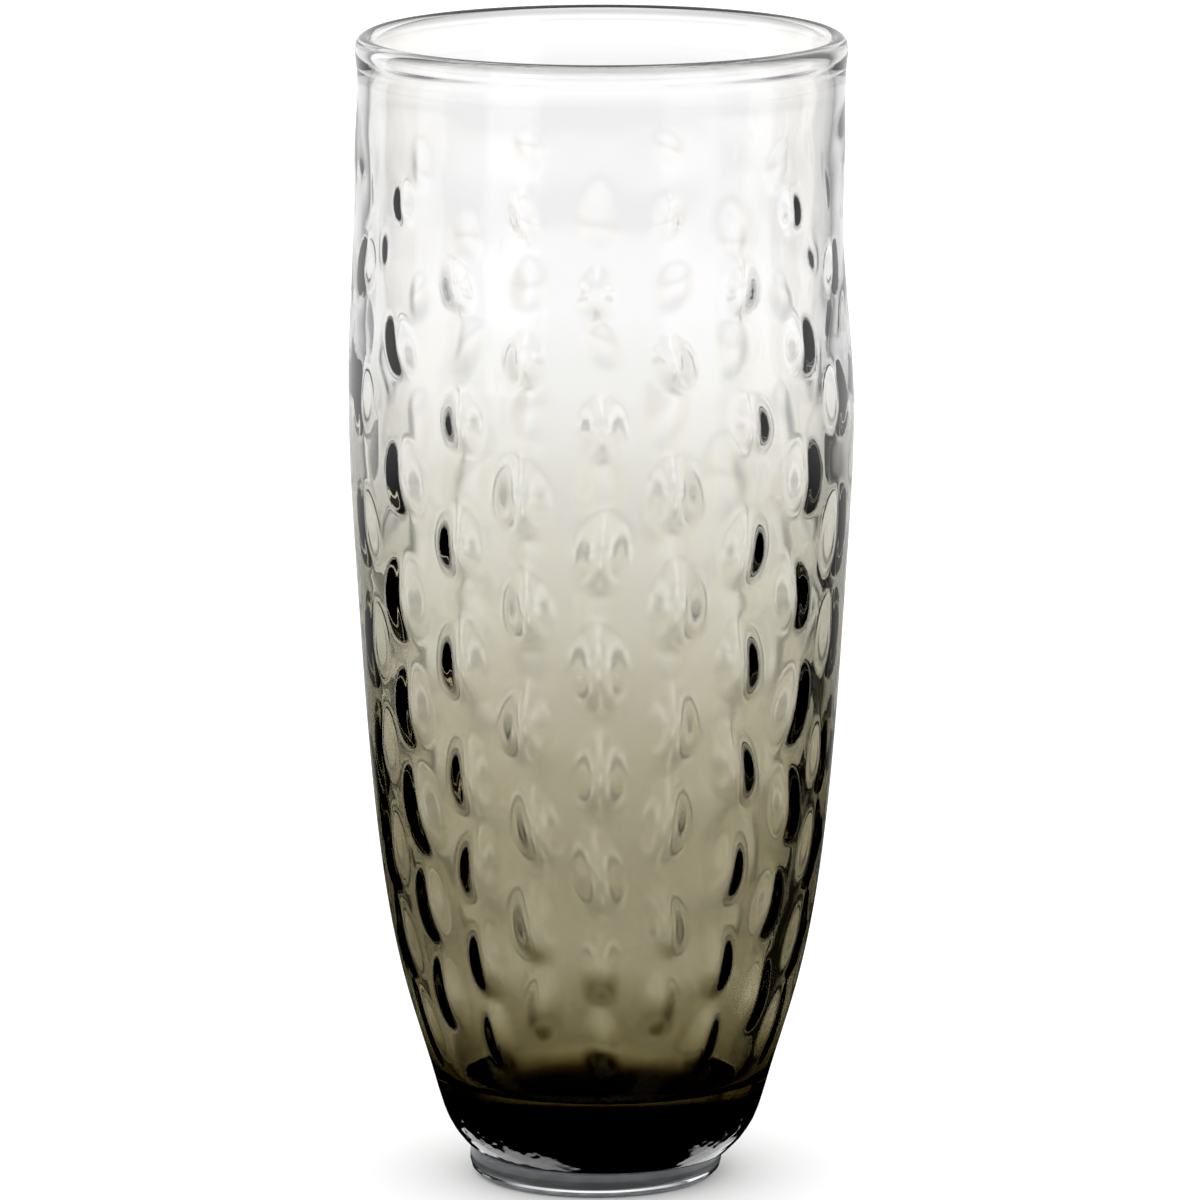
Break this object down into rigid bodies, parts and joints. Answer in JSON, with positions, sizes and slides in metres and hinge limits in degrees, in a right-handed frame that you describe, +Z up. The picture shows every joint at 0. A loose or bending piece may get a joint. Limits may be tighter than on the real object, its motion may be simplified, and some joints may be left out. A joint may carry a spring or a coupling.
{
  "type": "glass cylinder vase",
  "caption": "Tall cylindrical blown-glass vase with a dimpled wall, smoke-grey base fading to clear, a rolled lip and a clear foot; holds cut flowers in water.",
  "frame": {"origin": "centre of the vase at the level of the foot's flat resting ring", "axes": "+Z up along the axis of the vase, towards the mouth; -Y is the front"},
  "size_m": [0.1306, 0.1306, 0.3],
  "materials": {
    "clear_glass": "fire-polished clear glass",
    "smoke_glass": "fire-polished smoke-grey glass, darker where it is thicker"
  },
  "bodies": {
    "root": {"clear_casing": "clear_glass", "smoke_core": "smoke_glass", "rim_lip": "clear_glass", "foot": "clear_glass"}
  },
  "joints": []
}
